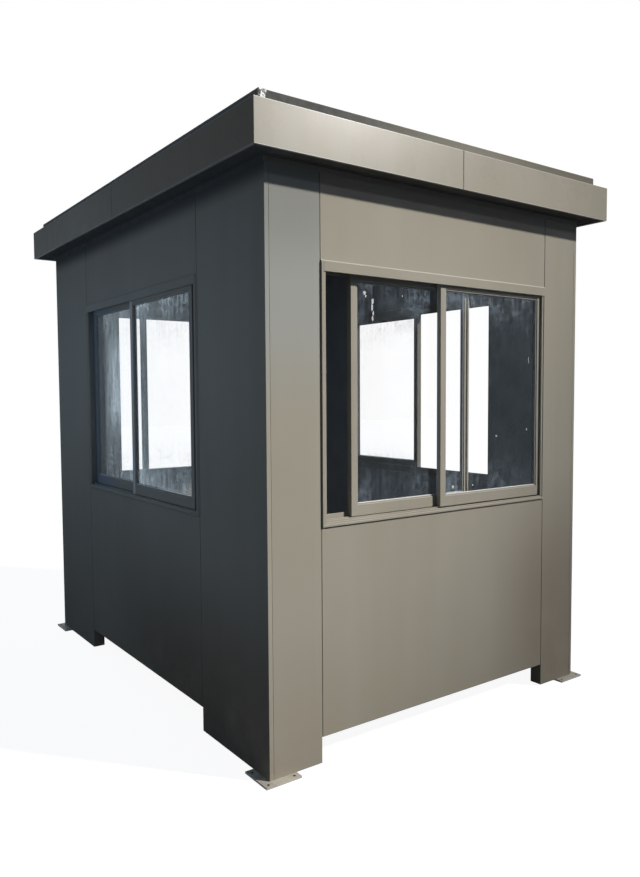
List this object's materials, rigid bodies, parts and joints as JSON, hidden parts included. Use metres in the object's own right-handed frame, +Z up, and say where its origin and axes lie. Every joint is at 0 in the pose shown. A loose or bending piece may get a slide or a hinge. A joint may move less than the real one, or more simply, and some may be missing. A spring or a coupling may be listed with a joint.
{
  "type": "security guard booth",
  "caption": "Metal-clad security guard booth with a flat overhanging roof, sliding windows on three sides, a half-glazed rear door and bolted foot plates.",
  "frame": {"origin": "on the ground under the middle of the booth, level with the undersides of the base plates", "axes": "+Z up, -Y out of the front wall, +X to the right as seen from the front"},
  "size_m": [2, 2.6, 2.475],
  "materials": {
    "cladding": "satin metallic taupe coating on flat composite sheet",
    "window_metal": "satin taupe powder coat on aluminium profile",
    "glass": "clear pane with dusty smears",
    "base_plate": "pale primer on steel plate",
    "dark_steel": "dark painted steel",
    "floor_sheet": "dark worn sheet",
    "lining": "blue-grey lining sheet",
    "roof_sheet": "dark coated roof sheet",
    "hardware": "black satin metal"
  },
  "bodies": {
    "booth": {"base_plate_front_left": "base_plate", "base_plate_front_right": "base_plate", "base_plate_rear_left": "base_plate", "base_plate_rear_right": "base_plate", "corner_column_front_left": "cladding", "corner_column_front_right": "cladding", "corner_column_rear_left": "cladding", "corner_column_rear_right": "cladding", "front_lower_panel": "cladding", "front_upper_panel": "cladding", "left_lower_panel": "cladding", "left_upper_panel": "cladding", "right_lower_panel": "cladding", "right_upper_panel": "cladding", "rear_side_panel": "cladding", "rear_header_panel": "cladding", "front_window_frame": "window_metal", "front_outer_sash": "window_metal", "front_inner_sash": "window_metal", "front_window_glass": "glass", "left_window_frame": "window_metal", "left_outer_sash": "window_metal", "left_inner_sash": "window_metal", "left_window_glass": "glass", "right_window_frame": "window_metal", "right_outer_sash": "window_metal", "right_inner_sash": "window_metal", "right_window_glass": "glass", "door_frame": "window_metal", "door_hinge_pins": "hardware", "floor_frame": "dark_steel", "floor_deck": "floor_sheet", "ceiling": "lining", "soffit": "dark_steel", "roof_frame": "dark_steel", "fascia_front": "cladding", "fascia_rear": "cladding", "fascia_left": "cladding", "fascia_right": "cladding", "roof_cap": "roof_sheet"},
    "door": {"door_leaf": "window_metal", "door_panel": "cladding", "door_glass": "glass", "door_handle": "hardware", "door_hinge_sleeves": "hardware"}
  },
  "joints": [
    {"name": "door_swing", "type": "hinge", "parent": "booth", "child": "door", "pos_m": [-0.6275, 1.209, 0], "axis": [0, 0, 1], "range_deg": [0, 100]}
  ]
}
